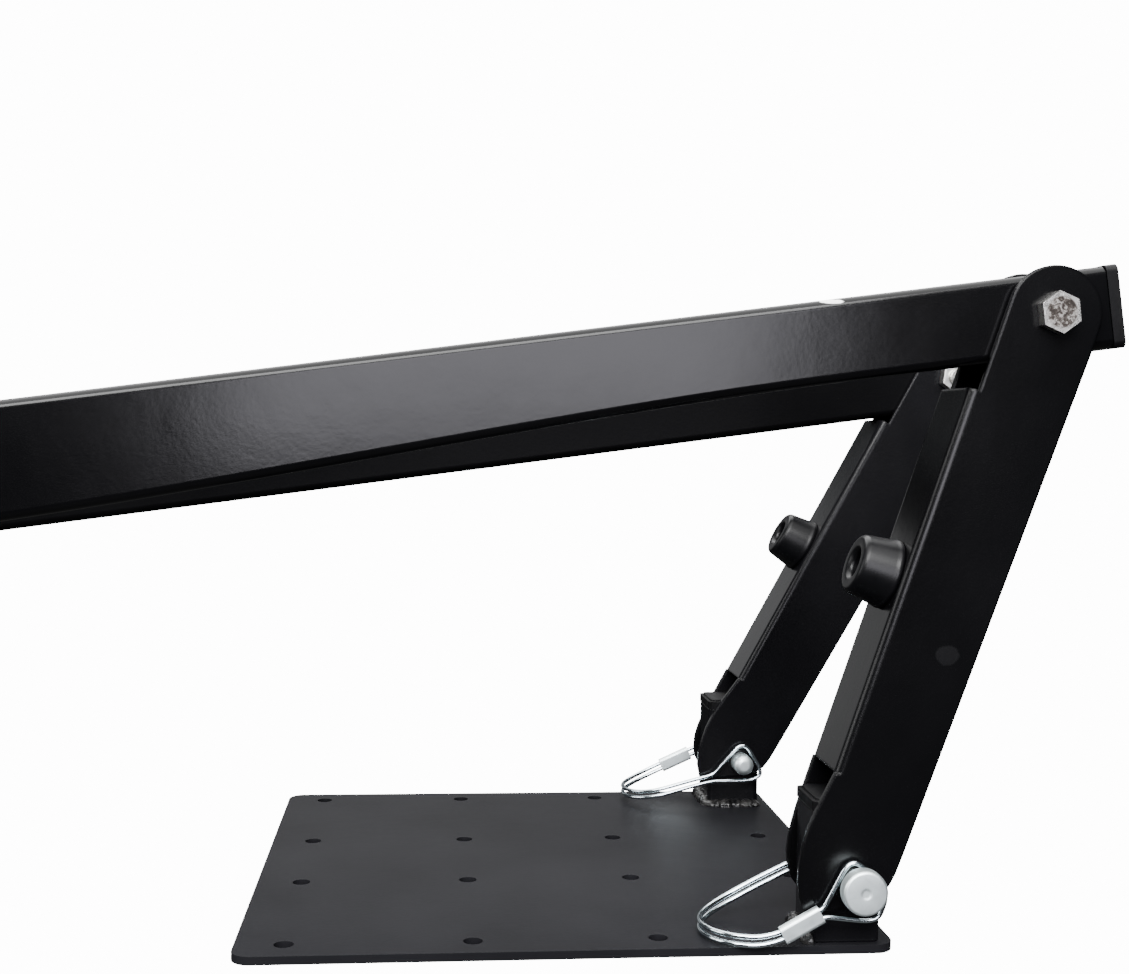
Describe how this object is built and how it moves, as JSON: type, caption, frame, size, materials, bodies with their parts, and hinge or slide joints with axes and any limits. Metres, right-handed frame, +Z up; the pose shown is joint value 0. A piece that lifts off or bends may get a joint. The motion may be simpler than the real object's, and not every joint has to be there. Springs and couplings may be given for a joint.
{
  "type": "tailgate ladder",
  "caption": "Folding tailgate ladder: bolt-down plate with posts, channel arms on lock pins, long side rails and round rungs.",
  "frame": {"origin": "middle of the base plate's underside", "axes": "+X along the side rails towards their pivots, +Y from the near arm to the far arm, +Z up out of the plate"},
  "size_m": [1.205, 0.32, 0.3167],
  "materials": {
    "black_coat": "satin powder coat",
    "weld": "lumpy weld under a thin glossy coat",
    "cap_plastic": "moulded",
    "bumper_rubber": "moulded",
    "spacer_nylon": "smooth",
    "screw_zinc": "zinc plated",
    "bolt_zinc": "zinc plated",
    "bush_steel": "turned",
    "pin_zinc": "zinc plated",
    "wire_zinc": "zinc plated"
  },
  "bodies": {
    "base": {"base_plate": "black_coat", "near_post": "black_coat", "far_post": "black_coat", "near_post_cap": "cap_plastic", "far_post_cap": "cap_plastic", "near_post_weld": "weld", "far_post_weld": "weld"},
    "near_arm": {"near_arm": "black_coat", "near_bumper": "bumper_rubber", "near_bumper_screw": "screw_zinc", "near_pivot_bolt": "bolt_zinc", "near_pivot_nut": "bolt_zinc", "near_pivot_spacers": "spacer_nylon"},
    "far_arm": {"far_arm": "black_coat", "far_bumper": "bumper_rubber", "far_bumper_screw": "screw_zinc", "far_pivot_bolt": "bolt_zinc", "far_pivot_nut": "bolt_zinc", "far_pivot_spacers": "spacer_nylon"},
    "near_rail": {"near_rail": "black_coat", "near_rail_bush": "bush_steel", "near_rail_caps": "cap_plastic", "near_rung_bolts": "bolt_zinc"},
    "far_rail": {"far_rail": "black_coat", "far_rail_bush": "bush_steel", "far_rail_caps": "cap_plastic", "far_rung_bolts": "bolt_zinc"},
    "rung_1": {"rung_1": "black_coat"},
    "rung_2": {"rung_2": "black_coat"},
    "rung_3": {"rung_3": "black_coat"},
    "near_pin": {"near_lock_pin": "pin_zinc", "near_bail": "wire_zinc", "near_bail_ferrule": "pin_zinc"},
    "far_pin": {"far_lock_pin": "pin_zinc", "far_bail": "wire_zinc", "far_bail_ferrule": "pin_zinc"}
  },
  "joints": [
    {"name": "near_arm_lean", "type": "hinge", "parent": "base", "child": "near_arm", "pos_m": [0.131, -0.125, 0.032], "axis": [0, 1, 0], "range_deg": [-30, 61.5]},
    {"name": "far_arm_lean", "type": "hinge", "parent": "base", "child": "far_arm", "pos_m": [0.131, 0.125, 0.032], "axis": [0, 1, 0], "range_deg": [-30, 61.5]},
    {"name": "near_rail_swing", "type": "hinge", "parent": "near_arm", "child": "near_rail", "pos_m": [0.21826, -0.125, 0.29279], "axis": [0, 1, 0], "range_deg": [0, 215]},
    {"name": "far_rail_swing", "type": "hinge", "parent": "far_arm", "child": "far_rail", "pos_m": [0.26222, 0.125, 0.27368], "axis": [0, 1, 0], "range_deg": [0, 215]},
    {"name": "rung_1_swivel", "type": "hinge", "parent": "near_rail", "child": "rung_1", "pos_m": [-0.39571, -0.125, 0.2065], "axis": [0, 1, 0], "range_deg": [-215, 0]},
    {"name": "rung_2_swivel", "type": "hinge", "parent": "near_rail", "child": "rung_2", "pos_m": [-0.62347, -0.125, 0.17449], "axis": [0, 1, 0], "range_deg": [-215, 0]},
    {"name": "rung_3_swivel", "type": "hinge", "parent": "near_rail", "child": "rung_3", "pos_m": [-0.85123, -0.125, 0.14248], "axis": [0, 1, 0], "range_deg": [-215, 0]},
    {"name": "near_bail_swing", "type": "hinge", "parent": "base", "child": "near_pin", "pos_m": [0.131, -0.125, 0.032], "axis": [0, 1, 0], "range_deg": [0, 60]},
    {"name": "far_bail_swing", "type": "hinge", "parent": "base", "child": "far_pin", "pos_m": [0.131, 0.125, 0.032], "axis": [0, 1, 0], "range_deg": [0, 60]}
  ],
  "couplings": [
    {"joint": "far_arm_lean", "follows": "near_arm_lean", "ratio": 1},
    {"joint": "far_rail_swing", "follows": "near_rail_swing", "ratio": 1},
    {"joint": "rung_1_swivel", "follows": "near_rail_swing", "ratio": -1},
    {"joint": "rung_2_swivel", "follows": "near_rail_swing", "ratio": -1},
    {"joint": "rung_3_swivel", "follows": "near_rail_swing", "ratio": -1}
  ]
}
